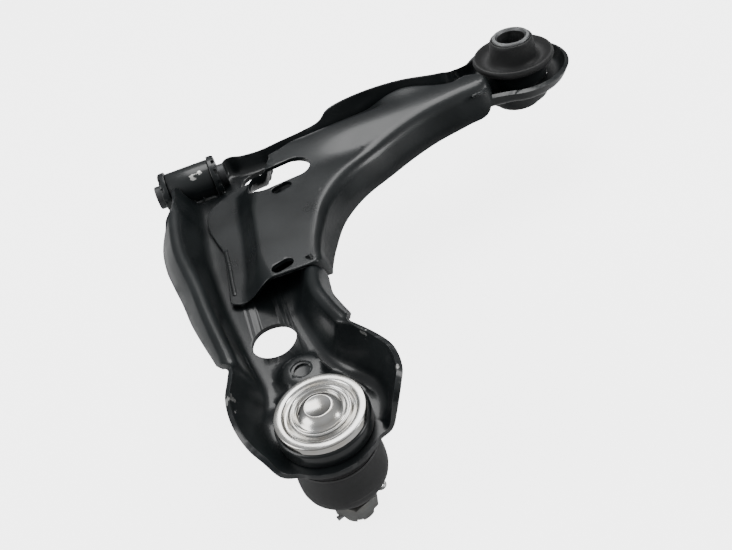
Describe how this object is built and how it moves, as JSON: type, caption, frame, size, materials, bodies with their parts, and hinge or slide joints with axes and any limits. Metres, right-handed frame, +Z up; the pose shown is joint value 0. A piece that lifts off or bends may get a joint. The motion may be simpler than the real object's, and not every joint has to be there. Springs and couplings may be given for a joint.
{
  "type": "control arm",
  "caption": "Pressed steel suspension control arm with a ball joint at its outer end, a horizontal front bush and an upright rear bush.",
  "frame": {"origin": "on the ground under the middle of the arm's box, with the ball stud's end at ground height", "axes": "+X from the front bush towards the rear bush, parallel to the hinge line; +Y from the ball joint towards the bushes; +Z up along the ball stud, from the nut to the cap"},
  "size_m": [0.3094, 0.3086, 0.0976],
  "materials": {
    "black_coat": "gloss",
    "rubber": "matte",
    "zinc": "bright zinc plate",
    "sleeve_steel": "satin",
    "spring_steel": "satin",
    "seat_plastic": "matte",
    "stud_steel": "ground",
    "nut_zinc": "dull zinc plate"
  },
  "bodies": {
    "arm": {"lower_pressing": "black_coat", "upper_pressing": "black_coat", "front_bush_tube": "black_coat", "front_bush_rubber": "rubber", "front_bush_front_ring": "black_coat", "front_bush_rear_ring": "black_coat", "rear_bush_shell": "black_coat", "rear_bush_rubber": "rubber", "ball_joint_housing": "black_coat", "ball_joint_cap": "zinc", "preload_washer": "spring_steel", "upper_ball_seat": "seat_plastic", "lower_ball_seat": "seat_plastic", "boot_upper_ring": "spring_steel"},
    "front_sleeve": {"front_bush_sleeve": "zinc"},
    "rear_sleeve": {"rear_bush_sleeve": "sleeve_steel"},
    "boot": {"dust_boot": "rubber"},
    "boot_ring": {"boot_lower_ring": "spring_steel"},
    "stud": {"ball_stud": "stud_steel", "castle_nut": "nut_zinc", "cotter_pin": "spring_steel"}
  },
  "joints": [
    {"name": "front_bush_twist", "type": "hinge", "parent": "arm", "child": "front_sleeve", "pos_m": [-0.12251, 0.11882, 0.072], "axis": [1, 0, 0], "range_deg": [-20, 20], "stiffness_Nm_per_rad": 60},
    {"name": "rear_bush_rock", "type": "hinge", "parent": "arm", "child": "rear_sleeve", "pos_m": [0.11929, 0.11882, 0.072], "axis": [1, 0, 0], "range_deg": [-6, 6], "stiffness_Nm_per_rad": 120, "deforming": ["rear_bush_rubber"]},
    {"name": "ball_stud_swing", "type": "hinge", "parent": "arm", "child": "boot", "pos_m": [-0.08921, -0.12728, 0.063], "axis": [1, 0, 0], "range_deg": [-18, 18], "deforming": ["dust_boot"]},
    {"name": "ball_stud_tilt", "type": "hinge", "parent": "boot", "child": "boot_ring", "pos_m": [-0.08921, -0.12728, 0.063], "axis": [0, 1, 0], "range_deg": [-12, 12]},
    {"name": "ball_stud_spin", "type": "hinge", "parent": "boot_ring", "child": "stud", "pos_m": [-0.08921, -0.12728, 0.063], "axis": [0, 0, 1], "continuous": true}
  ]
}
